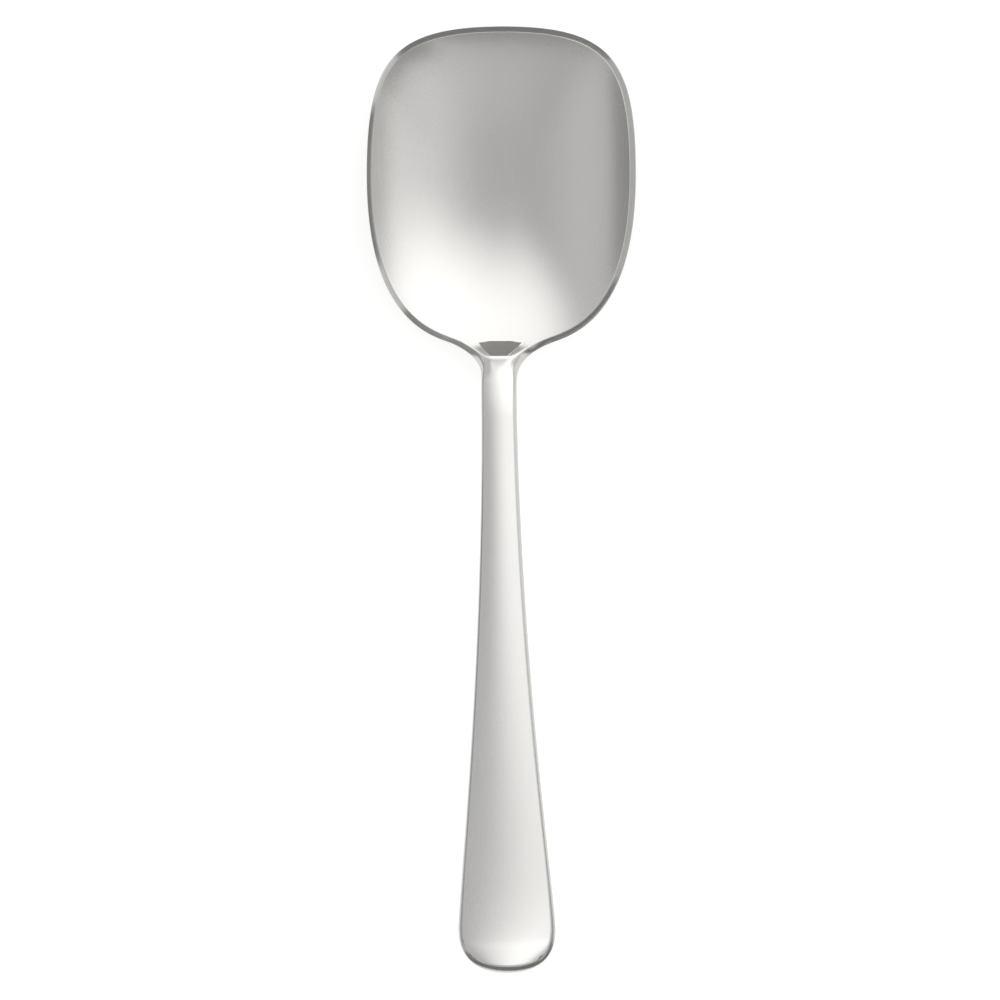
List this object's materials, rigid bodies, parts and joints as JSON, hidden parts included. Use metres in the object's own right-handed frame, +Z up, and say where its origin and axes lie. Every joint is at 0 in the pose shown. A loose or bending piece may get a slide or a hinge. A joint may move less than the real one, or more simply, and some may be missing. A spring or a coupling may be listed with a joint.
{
  "type": "serving spoon",
  "caption": "Stainless steel serving spoon with a rounded-square bowl, a facet at the neck and a slim stem widening to a softly squared handle end.",
  "frame": {"origin": "middle of the footprint on the table the spoon lies on", "axes": "+Y along the spoon from the handle's end to the bowl's tip, +Z up with the bowl open upwards, +X to the right"},
  "size_m": [0.0658, 0.23, 0.02],
  "materials": {
    "steel": "satin, finely brushed along the spoon"
  },
  "bodies": {
    "root": {"bowl": "steel", "handle": "steel"}
  },
  "joints": []
}
